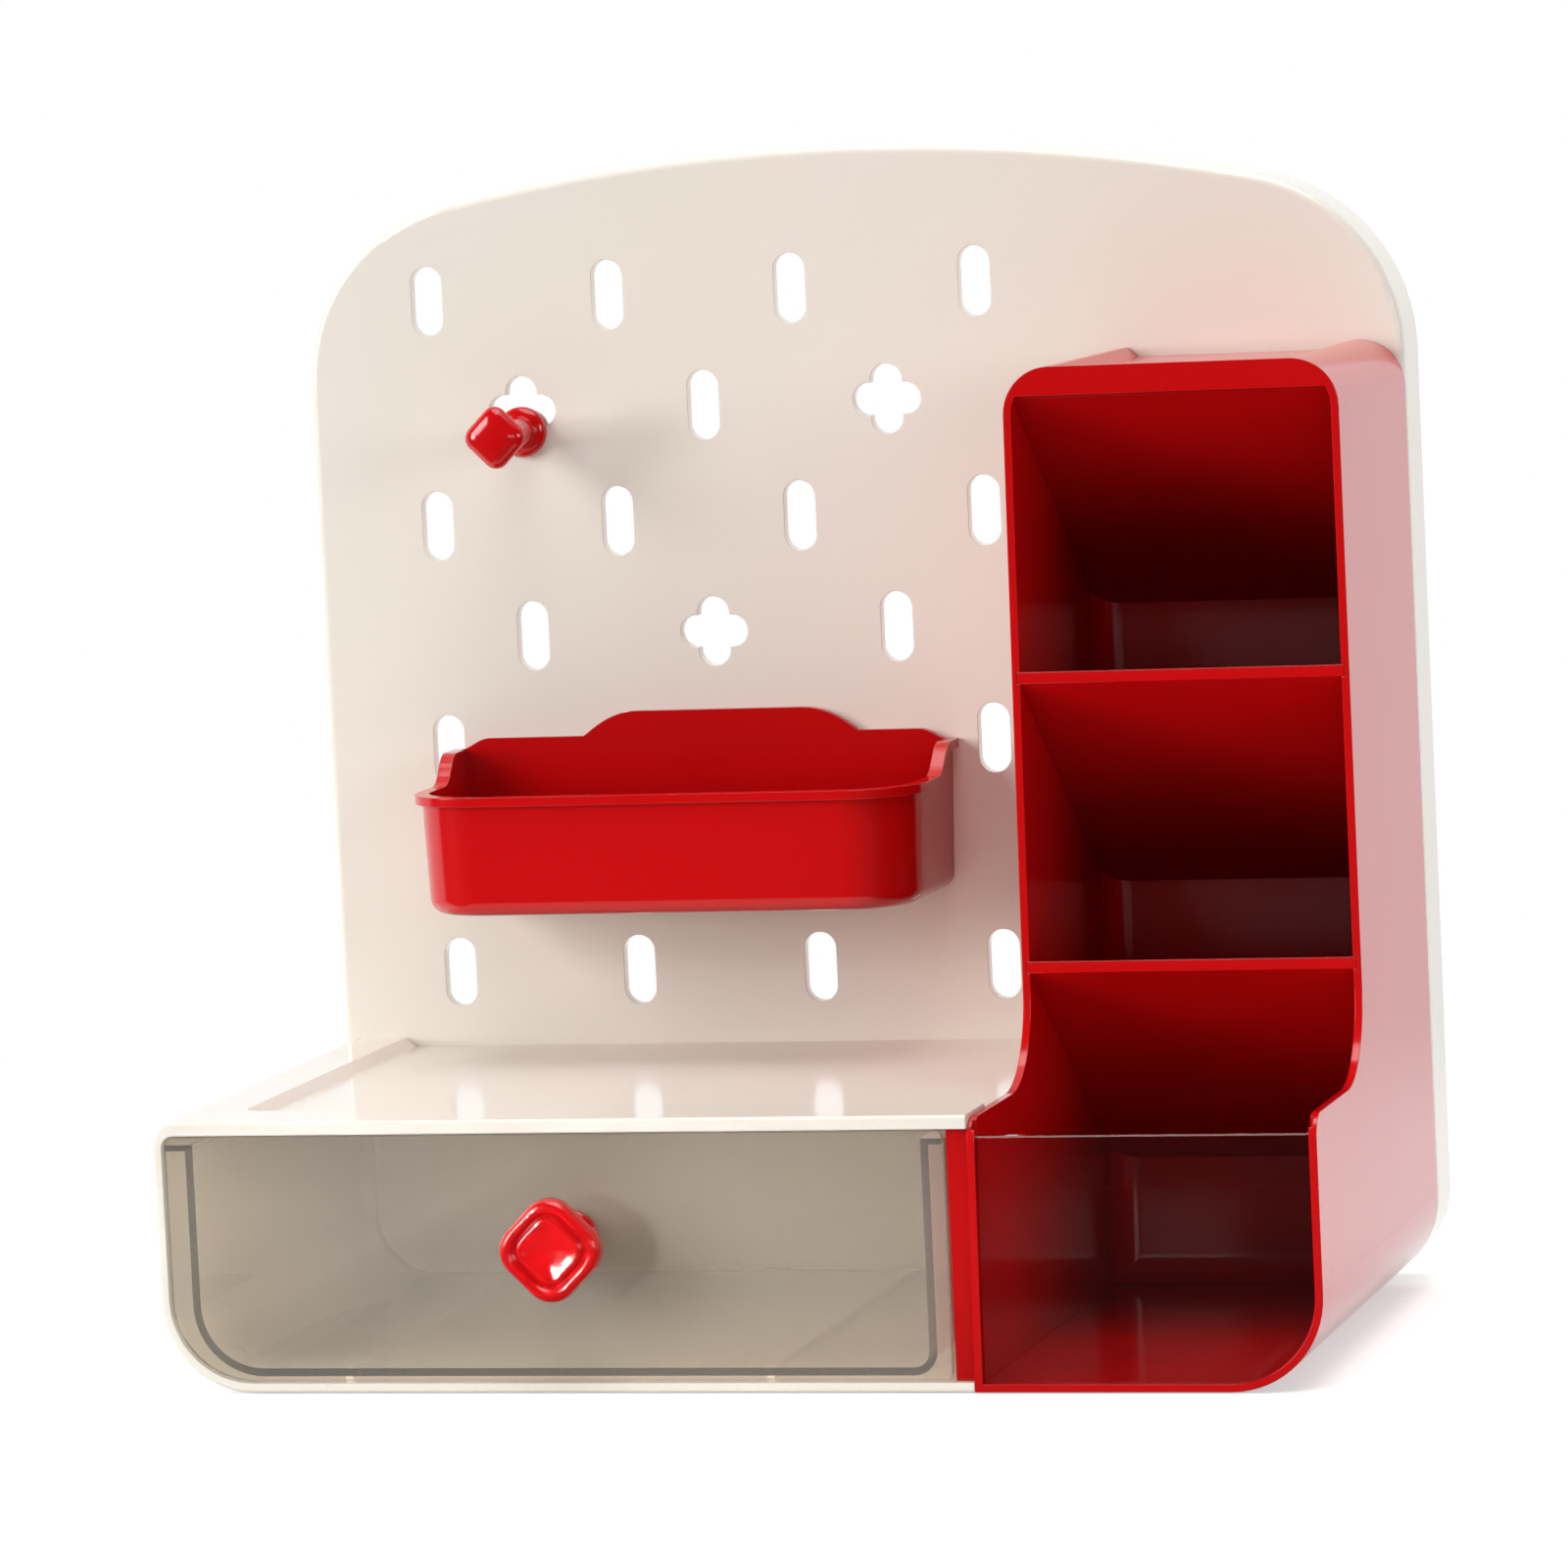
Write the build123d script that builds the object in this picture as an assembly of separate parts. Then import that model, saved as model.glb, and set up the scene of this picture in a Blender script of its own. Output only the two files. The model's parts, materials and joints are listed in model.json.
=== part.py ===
"""Pegboard desk organizer: a slotted back board, a drawer housing, a pen holder
with slanted compartments, a hanging basket and a peg hook.

Millimetres, +Z up, the front faces -Y. The origin is the centre of the overall box
on the desk. Every sub-part is its own function; each is written to parts/NODE.step.
"""
import math
import os

from build123d import *

# ---------------------------------------------------------------- driving sizes
# Back board: a shallow moulded shell with a turned-back rim.
panel_width = 297.0
panel_height = 303.0          # crown of the board above the desk
panel_depth = 20.0            # depth of the turned-back rim
panel_wall = 3.6              # thickness of the slotted face
rim_wall = 2.6
crown_radius = 530.0
shoulder_radius = 48.0
base_radius = 23.5            # bottom corners, shared by board, housing and holder
panel_edge_round = 2.2
panel_rib_height = 5.0
panel_rib_wall = 2.0

# Slot pattern of the board.
slot_width = 8.6
slot_length = 18.5
slot_pitch = 50.0             # across, within a row
row_pitch = 30.0              # down, every second row is shifted by half a pitch
first_slot_x = -114.5
first_row_z = 266.4
slot_columns = 4
slot_rows = 7

# Drawer housing: top plate, left wall, floor and rear wall, open to the right.
body_depth = 157.0            # board face to housing front
housing_top = 68.9
housing_wall = 2.4
housing_top_wall = 3.4        # top plate outside its tray
housing_top_radius = 5.5
housing_edge_round = 0.9
tray_recess_depth = 2.5       # shallow tray sunk into the top plate
tray_recess_left = 17.5       # margin left of the tray
tray_recess_front = 20.0      # margin in front of the tray
tray_recess_corner = 5.0
tray_recess_slope = 50.0      # slope of the tray's side, from the vertical
tray_recess_skin = 1.4        # how far the plate under the tray reaches past its side
glide_rib_width = 2.0
glide_rib_height = 1.4
glide_rib_left = -102.0
glide_rib_right = 7.5

# Pen holder.
holder_left = 63.4            # upper end of its left face
holder_lean = 2.4             # how far that face runs out to the left at the foot
holder_top = 247.5
holder_depth = 91.5           # upper part, board face to front edge
holder_wall = 2.0
holder_top_radius = 12.0
holder_step_z = 68.0          # level where the lower part ends
holder_step_radius = 23.0     # hollow curve from the upper to the lower part
holder_nose_radius = 6.0      # rounded front end of the lower part
holder_lip_height = 7.3       # face above the top compartment
holder_lip_wall = 2.4
holder_corner_round = 7.0     # upright corners at the back of the compartments
holder_top_recess = 2.4
holder_top_rail = 12.5
holder_top_front_rail = 2.0
holder_recess_left_slope = 50.0   # from the vertical
holder_recess_right_slope = 72.0
tongue_width = 5.1            # part of the holder that closes the housing
tongue_setback = 2.5
tongue_wall = 2.0

# Slanted dividers of the holder.
divider_slope = 34.0
divider_wall = 2.4
divider_pitch = 73.0
upper_divider_z = 171.2       # top of the upper divider's front edge
divider_groove = 0.8

# Clear front guard of the lowest compartment.
guard_top = 63.5
guard_wall = 2.0
guard_setback = 1.0
guard_groove = 0.9
guard_rim_height = 13.0
guard_rim_wall = 0.8

# Drawer.
drawer_wall = 2.0
drawer_front_wall = 2.2
drawer_front_setback = 0.5
drawer_front_gap = 0.6
drawer_side_gap = 5.6         # tray wall to housing wall
drawer_right_gap = 4.4        # tray wall to the holder's tongue
drawer_back_gap = 3.6          # tray to the board face
drawer_height = 58.7
drawer_bottom_radius = 18.0    # lower left edge
drawer_right_radius = 6.0      # lower right edge
drawer_back_radius = 3.0
drawer_front_corner = 2.0
drawer_flange_wall = 1.5

# Knob of the drawer.
knob_x = -40.5
knob_z = 38.8
knob_reach = 20.0             # drawer front to knob face
knob_radius = 12.9            # half the width across the corners
knob_corner = 7.0
knob_head_depth = 7.5
knob_front_bevel = 1.2
knob_rear_bevel = 2.2
knob_rim = 3.3                # width of the raised rim
knob_groove_depth = 3.2
knob_plateau_radius = 8.3
knob_plateau_corner = 3.0
knob_plateau_drop = 0.6       # plateau below the rim
knob_hollow_radius = 6.6      # half-diagonal of the sunk pyramid
knob_hollow_depth = 1.8
knob_stem_radius = 5.6
knob_base_radius = 7.6
knob_base_height = 1.5
knob_screw_radius = 1.5
knob_screw_length = 14.0
knob_screw_head_radius = 4.2
knob_screw_head = 2.4

# Basket.
basket_centre_x = -43.6
basket_width = 135.2          # at the front rim
basket_depth = 52.0
basket_draft = 2.0            # slope of the front and the sides
basket_floor_z = 107.0
basket_rim_z = 138.6          # level rim of the front
basket_side_z = 146.5         # rim of the sides behind the rise
basket_back_z = 149.4         # back wall between its shoulders and the tab
basket_tab_z = 155.8
basket_wall = 2.0
basket_corner = 17.0
basket_foot_round = 4.0
basket_lip = 1.6
basket_lip_height = 2.4
basket_rise_start = 29.0      # behind the basket's front, where the rim starts to rise
basket_rise_length = 14.5
basket_shoulder = 9.0         # length of the falling ends of the back wall
basket_tab_shift = 0.8        # tab beside the middle of its two hooks
basket_tab_top = 44.6
basket_tab_base = 75.4
basket_tab_rise = 0.75        # slope at the foot of the tab
basket_row = 4                # row of slots that carries it, from the top
basket_hook_width = 6.0
basket_hook_height = 6.0
basket_hook_drop = 5.5
basket_hook_wall = 2.2
basket_hook_round = 2.4       # foot of the hook
basket_hook_top_round = 1.0

# Peg hook.
peg_reach = 29.0
peg_flange_radius = 6.7
peg_flange = 3.0
peg_groove_radius = 3.6
peg_button_radius = 5.6
peg_button = 2.2
peg_neck_radius = 3.8
peg_head_radius = 8.2
peg_head_corner = 3.6
peg_head_depth = 6.5
peg_head_rear_slope = 38.0
peg_head_front_slope = 44.0

# Screws through the board, and the feet.
boss_radius = 4.0
holder_boss_inset = 22.0
screw_radius = 1.3
screw_head_radius = 6.0
screw_head = 2.2
screw_length = 5.0
foot_radius = 6.5
foot_stand = 0.4              # pads stand out below the underside
foot_sink = 1.0

# Clearances.
fit_gap = 0.1                 # between fixed pieces
slide_gap = 0.3               # between moving pieces
sink = 0.5                    # how far joined shapes reach into each other
touch = 0.01

# ------------------------------------------------------------ places from the sizes
overall_depth = knob_reach - drawer_front_setback + body_depth + panel_depth
front_y = -overall_depth / 2 + knob_reach - drawer_front_setback
board_y = front_y + body_depth
back_y = board_y + panel_depth
half_width = panel_width / 2
base_z = foot_stand
holder_front_y = board_y - holder_depth
holder_right = half_width
tongue_left = holder_left - holder_lean - tongue_width
recess_z = housing_top - tray_recess_depth
slope = math.tan(math.radians(divider_slope))


# ---------------------------------------------------------------------- helpers
def along_y(outline, y_from, y_to):
    """Extrudes an outline drawn in X and Z between two places along Y."""
    return extrude(Plane.XZ.offset(-y_to) * outline, y_to - y_from)


def along_x(outline, x_from, x_to):
    """Extrudes an outline drawn in Y and Z between two places along X."""
    return extrude(Plane.YZ.offset(x_from) * outline, x_to - x_from)


def block(x0, x1, y0, y1, z0, z1):
    """A plain block between two corners."""
    return Pos((x0 + x1) / 2, (y0 + y1) / 2, (z0 + z1) / 2) * Box(x1 - x0, y1 - y0, z1 - z0)


def rod(x, z, radius, y_from, y_to):
    """A round bar along Y."""
    return along_y(Pos(x, z) * Circle(radius), y_from, y_to)


def rounded_corners(outline, corners):
    """Rounds some corners of an outline, each with its own radius; none where it is zero."""
    for (x, z), radius in corners:
        if radius > 0:
            corner = outline.vertices().sort_by_distance((x, z, 0))[0]
            outline = fillet(corner, radius)
    return outline


def rounded(x0, x1, z0, z1, lower_left=0.0, lower_right=0.0, upper_right=0.0, upper_left=0.0):
    """A rectangle in X and Z with its own radius at each corner."""
    outline = Pos((x0 + x1) / 2, (z0 + z1) / 2) * Rectangle(x1 - x0, z1 - z0)
    corners = (
        ((x0, z0), lower_left),
        ((x1, z0), lower_right),
        ((x1, z1), upper_right),
        ((x0, z1), upper_left),
    )
    return rounded_corners(outline, corners)


def sweep_up(start, end):
    """A smooth S from one level to another, level at both ends."""
    return Spline(start, end, tangents=((1, 0), (1, 0)))


def diamond(radius, corner):
    """A square on its corner, rounded; radius is measured across the rounded corners."""
    sharp = radius + corner * (math.sqrt(2) - 1)
    side = sharp * math.sqrt(2)
    return Rot(Z=45) * RectangleRounded(side, side, corner)


# -------------------------------------------------------------------- back board
def board_outline():
    """Straight sides, a flat crown arc and tighter shoulder arcs that meet it smoothly."""
    crown_z = panel_height - crown_radius
    reach = crown_radius - shoulder_radius
    shoulder_x = half_width - shoulder_radius
    shoulder_z = crown_z + math.sqrt(reach**2 - shoulder_x**2)
    meet_x = shoulder_x * crown_radius / reach
    meet_z = crown_z + (shoulder_z - crown_z) * crown_radius / reach
    turn = math.radians(45) + math.atan2(meet_x, meet_z - crown_z) / 2
    mid_x = shoulder_x + shoulder_radius * math.sin(turn)
    mid_z = shoulder_z + shoulder_radius * math.cos(turn)
    edge = Line((half_width, base_z), (half_width, shoulder_z))
    edge += ThreePointArc((half_width, shoulder_z), (mid_x, mid_z), (meet_x, meet_z))
    edge += ThreePointArc((meet_x, meet_z), (0, panel_height), (-meet_x, meet_z))
    edge += ThreePointArc((-meet_x, meet_z), (-mid_x, mid_z), (-half_width, shoulder_z))
    edge += Line((-half_width, shoulder_z), (-half_width, base_z))
    edge += Line((-half_width, base_z), (half_width, base_z))
    outline = make_face(edge)
    for side in (-1, 1):
        corner = outline.vertices().sort_by_distance((side * half_width, base_z, 0))[0]
        outline = fillet(corner, base_radius)
    return outline


def slot_places():
    """Centres of all openings with their kind: slots, and crosses in a checker pattern."""
    places = []
    for row in range(slot_rows):
        shifted = row % 2
        z = first_row_z - row * row_pitch
        for column in range(slot_columns - shifted):
            x = first_slot_x + (column + shifted / 2) * slot_pitch
            crossed = shifted and (column + row // 2) % 2 == 0
            places.append((x, z, "cross" if crossed else "slot"))
    return places


def opening_outline(kind):
    """An upright slot, or two crossing slots."""
    level = SlotOverall(slot_length, slot_width)
    upright = Rot(Z=90) * level
    return upright + level if kind == "cross" else upright


def boss_places_housing():
    """Screw places behind the drawer housing."""
    middle_z = (base_z + recess_z) / 2
    return [
        (-half_width + 3 * boss_radius + base_radius, base_z + 2.5 * boss_radius),
        ((tongue_left - half_width) / 2, middle_z),
        (tongue_left - 2 * boss_radius, base_z + 2.5 * boss_radius),
    ]


def boss_places_holder():
    """Screw places behind the pen holder."""
    inset = holder_boss_inset
    low_z = base_z + base_radius
    high_z = holder_top - holder_top_radius - inset
    return [
        (x, z)
        for x in (holder_left + inset, holder_right - inset)
        for z in (low_z, high_z)
    ]


def screw_hole(x, z):
    """Pilot hole for a screw that comes in from behind the board."""
    seat = board_y + panel_wall
    return rod(x, z, screw_radius + fit_gap / 2, seat - screw_length - fit_gap, seat)


def pegboard_panel():
    """The slotted board with its rim, its stiffening rib and its screw holes."""
    outline = board_outline()
    shell = along_y(outline, board_y, back_y)
    front_edges = shell.faces().sort_by(Axis.Y)[0].edges()
    shell = fillet(front_edges, panel_edge_round)
    inside = offset(outline, amount=-rim_wall, kind=Kind.INTERSECTION)
    shell -= along_y(inside, board_y + panel_wall, back_y + 1)
    rib_z = (first_row_z - (slot_rows - 1) * row_pitch + housing_top - slot_length / 2) / 2
    shell += block(
        -half_width + rim_wall / 2,
        half_width - rim_wall / 2,
        board_y + panel_wall,
        board_y + panel_wall + panel_rib_height,
        rib_z - panel_rib_wall / 2,
        rib_z + panel_rib_wall / 2,
    )
    for x, z, kind in slot_places():
        place = Pos(x, z)
        shell -= along_y(place * opening_outline(kind), board_y - 1, board_y + panel_wall + 1)
    for x, z in boss_places_housing() + boss_places_holder():
        shell -= rod(x, z, boss_radius + fit_gap, board_y - 1, board_y + panel_wall + 1)
    return shell


# ---------------------------------------------------------------- drawer housing
def housing_space(gap=0.0):
    """The room inside the housing, less a gap all round, open to the right."""
    radius = base_radius - housing_wall - gap
    outline = rounded(
        -half_width + housing_wall + gap,
        holder_left + housing_wall,
        base_z + housing_wall + gap,
        housing_top - housing_top_wall - gap,
        lower_left=radius,
        upper_left=housing_top_radius - housing_wall,
    )
    return along_y(outline, front_y - 1, board_y - housing_wall)


def housing_outline():
    """The housing seen from the front; its right side leans along the holder."""
    low_right = holder_left_at(base_z) - fit_gap
    high_right = holder_left_at(housing_top) - fit_gap
    corners = (
        (-half_width, base_z),
        (low_right, base_z),
        (high_right, housing_top),
        (-half_width, housing_top),
    )
    outline = make_face(Polyline(*corners, close=True))
    radii = ((corners[0], base_radius), (corners[3], housing_top_radius))
    return rounded_corners(outline, radii)


def tray_recess(grow, drop):
    """The sunk tray of the top plate: a sloping side with one large rounded corner."""
    left = -half_width + tray_recess_left - grow
    front = front_y + tray_recess_front - grow
    right = holder_left + tray_recess_left
    rear = board_y + tray_recess_left
    plan = Pos((left + right) / 2, (front + rear) / 2) * Rectangle(right - left, rear - front)
    corner = plan.vertices().sort_by_distance((left, front, 0))[0]
    plan = fillet(corner, tray_recess_corner + grow)
    start = Plane.XY.offset(housing_top - drop) * plan
    return extrude(start, tray_recess_depth, dir=(0, 0, -1), taper=tray_recess_slope)


def drawer_housing():
    """The C-shaped shell round the drawer, with a rear wall and a tray sunk in its top."""
    outer = along_y(housing_outline(), front_y, board_y)
    front_edges = outer.faces().sort_by(Axis.Y)[0].edges()
    long_edges = front_edges.filter_by(lambda e: e.center().X < tongue_left)
    outer = fillet(long_edges, housing_edge_round)
    shell = outer - housing_space()
    under_tray = tray_recess(tray_recess_skin, housing_wall)
    shell += under_tray & outer
    shell -= tray_recess(0.0, 0.0)
    for x in (glide_rib_left, glide_rib_right):
        shell += block(
            x - glide_rib_width / 2,
            x + glide_rib_width / 2,
            front_y + 4 * glide_rib_width,
            board_y - housing_wall,
            base_z + housing_wall - touch,
            base_z + housing_wall + glide_rib_height,
        )
    for x, z in boss_places_housing():
        shell += rod(x, z, boss_radius, board_y - touch, board_y + panel_wall - fit_gap)
        shell -= screw_hole(x, z)
    for x, y in foot_places()[:2]:
        shell -= Pos(x, y, base_z) * Cylinder(foot_radius + fit_gap, 2 * foot_sink)
    return shell


# -------------------------------------------------------------------- pen holder
def holder_left_at(z):
    """Place of the holder's leaning left face at one level."""
    return holder_left - holder_lean * (holder_top - z) / (holder_top - base_z)


def holder_outline(inset, ceiling=None):
    """The holder seen from the front, drawn in by an inset and cut off level at a ceiling."""
    low = base_z + inset
    high = holder_top - inset
    right = holder_right - inset
    low_left = (holder_left_at(low) + inset, low)
    high_left = (holder_left_at(high) + inset, high)
    outline = make_face(Polyline(low_left, (right, low), (right, high), high_left, close=True))
    corners = (
        ((right, low), base_radius - inset),
        ((right, high), holder_top_radius - inset),
        (high_left, holder_top_radius - inset),
    )
    outline = rounded_corners(outline, corners)
    if ceiling is not None:
        outline &= rounded(tongue_left, holder_right + 1, 0, ceiling)
    return outline


def holder_side():
    """The holder seen from the side: a deep foot that curves up into the upper part."""
    low = holder_step_z
    nose = holder_nose_radius
    hollow = holder_step_radius
    rise = math.sqrt(0.5)
    edge = Line((board_y, base_z), (front_y, base_z))
    edge += Line((front_y, base_z), (front_y, low - nose))
    edge += ThreePointArc(
        (front_y, low - nose),
        (front_y + nose * (1 - rise), low - nose * (1 - rise)),
        (front_y + nose, low),
    )
    edge += Line((front_y + nose, low), (holder_front_y - hollow, low))
    edge += ThreePointArc(
        (holder_front_y - hollow, low),
        (holder_front_y - hollow * (1 - rise), low + hollow * (1 - rise)),
        (holder_front_y, low + hollow),
    )
    edge += Line((holder_front_y, low + hollow), (holder_front_y, holder_top))
    edge += Line((holder_front_y, holder_top), (board_y, holder_top))
    edge += Line((board_y, holder_top), (board_y, base_z))
    return make_face(edge)


def holder_space(gap=0.0):
    """The room inside the holder behind its top lip, with rounded upright rear corners."""
    outline = holder_outline(holder_wall + gap)
    space = along_y(outline, front_y - 1, board_y - holder_wall - gap)
    rear = space.faces().sort_by(Axis.Y)[-1]
    upright = rear.edges().filter_by(GeomType.LINE).filter_by(lambda e: abs((e % 0.5).Z) > 0.9)
    space = fillet(upright, holder_corner_round - gap)
    thick = divider_wall / math.cos(math.radians(divider_slope))
    ceiling = holder_top - holder_lip_height + thick - gap
    return space & block(tongue_left, holder_right, front_y - 1, board_y, base_z, ceiling)


def divider_slab(front_z, y_from, thickness, x_from, x_to):
    """A slanted slab; front_z is its upper side at the holder's front edge."""
    drop = thickness / math.cos(math.radians(divider_slope))
    rear = board_y + 5
    top_near = front_z - (y_from - holder_front_y) * slope
    top_far = front_z - (rear - holder_front_y) * slope
    edge = Line((y_from, top_near), (rear, top_far))
    edge += Line((rear, top_far), (rear, top_far - drop))
    edge += Line((rear, top_far - drop), (y_from, top_near - drop))
    edge += Line((y_from, top_near - drop), (y_from, top_near))
    return along_x(make_face(edge), x_from, x_to)


def divider_levels():
    """Front-edge heights of the top baffle and the two dividers, top first."""
    return [upper_divider_z + divider_pitch, upper_divider_z, upper_divider_z - divider_pitch]


def divider(front_z, y_front):
    """One slanted divider with side tongues that sit in the holder's grooves."""
    wide = divider_slab(front_z, y_front, divider_wall, tongue_left, holder_right)
    band = holder_outline(holder_wall - divider_groove + fit_gap)
    return (wide & holder_space(fit_gap)) + (wide & along_y(band, y_front, divider_tongue_end()))


def divider_tongue_end():
    """The dividers' side tongues stop short of the holder's rounded rear corners."""
    return board_y - holder_wall - 2 * holder_corner_round


def divider_grooves(front_z, y_front):
    """The two grooves of one divider, cut into the side walls."""
    thick = divider_wall + 2 * fit_gap
    slab = divider_slab(front_z + fit_gap, y_front, thick, tongue_left, holder_right)
    band = holder_outline(holder_wall - divider_groove)
    return slab & along_y(band, y_front, divider_tongue_end() + fit_gap)


def top_recess():
    """Shallow tray in the holder's top with sloping sides, open towards the board."""
    run_left = holder_top_recess * math.tan(math.radians(holder_recess_left_slope))
    run_right = holder_top_recess * math.tan(math.radians(holder_recess_right_slope))
    left = holder_left + holder_top_rail
    right = holder_right - holder_top_rail
    near = holder_front_y + holder_top_front_rail
    floor_z = holder_top - holder_top_recess
    above = holder_top + holder_top_recess
    across = Polyline(
        (left - run_left, above),
        (left + run_left, floor_z),
        (right - run_right, floor_z),
        (right + run_right, above),
        close=True,
    )
    behind = Polyline(
        (near - run_left, above),
        (near + run_left, floor_z),
        (board_y + 1, floor_z),
        (board_y + 1, above),
        close=True,
    )
    tray = along_y(make_face(across), holder_front_y, board_y + 1)
    return tray & along_x(make_face(behind), holder_left, holder_right)


def pen_holder_shell():
    """Outer shell of the pen holder: side walls, floor, rear wall, top and lip."""
    solid = along_x(holder_side(), tongue_left, holder_right)
    solid &= along_y(holder_outline(0.0), front_y - 1, board_y)
    lip_back = holder_front_y + holder_lip_wall
    lip_opening = holder_outline(holder_wall, holder_top - holder_lip_height)
    shell = solid - along_y(lip_opening, front_y - 1, lip_back + 1)
    behind_lip = block(tongue_left, holder_right, lip_back, board_y, base_z, holder_top)
    shell -= holder_space() & behind_lip
    shell -= top_recess()
    baffle_z, upper_z, lower_z = divider_levels()
    shell -= divider_grooves(baffle_z, lip_back)
    shell -= divider_grooves(upper_z, holder_front_y - 1)
    shell -= divider_grooves(lower_z, holder_front_y - 1)
    guard_y = front_y + guard_setback
    guard_slot = holder_outline(holder_wall - guard_groove)
    shell -= along_y(guard_slot, guard_y - fit_gap, guard_y + guard_wall + fit_gap)
    shell += holder_tongue()
    for x, z in boss_places_holder():
        shell += rod(x, z, boss_radius, board_y - touch, board_y + panel_wall - fit_gap)
        shell -= screw_hole(x, z)
    for x, y in foot_places()[2:]:
        shell -= Pos(x, y, base_z) * Cylinder(foot_radius + fit_gap, 2 * foot_sink)
    return shell


def tongue_block(left, into_wall, near, far, low, high):
    """A block beside the holder whose right side follows the holder's leaning face."""
    outline = Polyline(
        (left, low),
        (holder_left_at(low) + into_wall, low),
        (holder_left_at(high) + into_wall, high),
        (left, high),
        close=True,
    )
    return along_y(make_face(outline), near, far)


def holder_tongue():
    """The hollow tongue that fills the open right side of the drawer housing."""
    near = front_y + tongue_setback
    far = board_y - housing_wall - slide_gap
    low = base_z + housing_wall + fit_gap
    high = recess_z - housing_wall - fit_gap
    strip_high = housing_top - housing_top_wall - fit_gap
    strip_to = front_y + tray_recess_front - tray_recess_skin - fit_gap
    into_wall = holder_wall / 2
    tongue = tongue_block(tongue_left, into_wall, near, far, low, high)
    tongue += tongue_block(tongue_left, into_wall, near, strip_to, low, strip_high)
    hollow_left = tongue_left + tongue_wall
    hollow_low = low + tongue_wall
    hollow_high = high - tongue_wall
    hollow = tongue_block(hollow_left, 0, near + tongue_wall, far + 1, hollow_low, hollow_high)
    return tongue - hollow


def holder_top_baffle():
    """Slanted roof of the top compartment, tucked behind the lip."""
    return divider(divider_levels()[0], holder_front_y + holder_lip_wall + fit_gap)


def holder_upper_divider():
    """Slanted floor of the top compartment."""
    return divider(divider_levels()[1], holder_front_y)


def holder_lower_divider():
    """Slanted floor of the middle compartment."""
    return divider(divider_levels()[2], holder_front_y)


def holder_front_guard():
    """Clear plate across the lowest compartment, thicker along its top edge."""
    near = front_y + guard_setback
    outline = holder_outline(holder_wall - guard_groove + fit_gap, guard_top)
    plate = along_y(outline, near, near + guard_wall)
    rim = holder_outline(holder_wall + fit_gap, guard_top)
    rim &= rounded(tongue_left, holder_right, guard_top - guard_rim_height, guard_top)
    plate += along_y(rim, near + guard_wall, near + guard_wall + guard_rim_wall)
    top_edges = plate.faces().sort_by(Axis.Z)[-1].edges().filter_by(Axis.X)
    return chamfer(top_edges, guard_rim_wall / 2)


# ------------------------------------------------------------------------ drawer
def drawer_box():
    """Clear drawer: a tray with a larger front plate and two side flanges."""
    floor_z = base_z + housing_wall + glide_rib_height + fit_gap
    left = -half_width + housing_wall + drawer_side_gap
    right = tongue_left - drawer_right_gap
    top = floor_z + drawer_height
    plate_back = front_y + drawer_front_setback + drawer_front_wall
    rear = board_y - drawer_back_gap
    section = rounded(
        left,
        right,
        floor_z,
        top + drawer_wall,
        lower_left=drawer_bottom_radius,
        lower_right=drawer_right_radius,
    )
    body = along_y(section, front_y + drawer_front_setback + drawer_front_wall / 2, rear)
    rear_upright = body.faces().sort_by(Axis.Y)[-1].edges().filter_by(Axis.Z)
    body = fillet(rear_upright, drawer_back_radius)
    inner = rounded(
        left + drawer_wall,
        right - drawer_wall,
        floor_z + drawer_wall,
        top + 2 * drawer_wall,
        lower_left=drawer_bottom_radius - drawer_wall,
        lower_right=drawer_right_radius - drawer_wall,
    )
    room = along_y(inner, plate_back, rear - drawer_wall)
    room_upright = room.faces().sort_by(Axis.Y)[-1].edges().filter_by(Axis.Z)
    room = fillet(room_upright, drawer_back_radius - drawer_wall)
    tray = body - room
    tray &= block(left, right, front_y, rear, floor_z, top)
    for x0, x1 in (
        (left - drawer_side_gap + 2 * slide_gap, left + touch),
        (right - touch, right + drawer_right_gap - 2 * slide_gap),
    ):
        flange_rear = rear - drawer_back_radius
        tray += block(x0, x1, plate_back - touch, flange_rear, top - drawer_flange_wall, top)
    plate = rounded(
        -half_width + housing_wall + drawer_front_gap,
        tongue_left - drawer_front_gap,
        base_z + housing_wall + drawer_front_gap,
        housing_top - housing_top_wall - drawer_front_gap,
        lower_left=base_radius - housing_wall - drawer_front_gap,
        lower_right=drawer_front_corner,
        upper_right=drawer_front_corner,
        upper_left=housing_top_radius - housing_wall - drawer_front_gap,
    )
    tray += along_y(plate, front_y + drawer_front_setback, plate_back)
    tray -= rod(knob_x, knob_z, knob_screw_radius + slide_gap, front_y - 1, plate_back + 1)
    return tray


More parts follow.
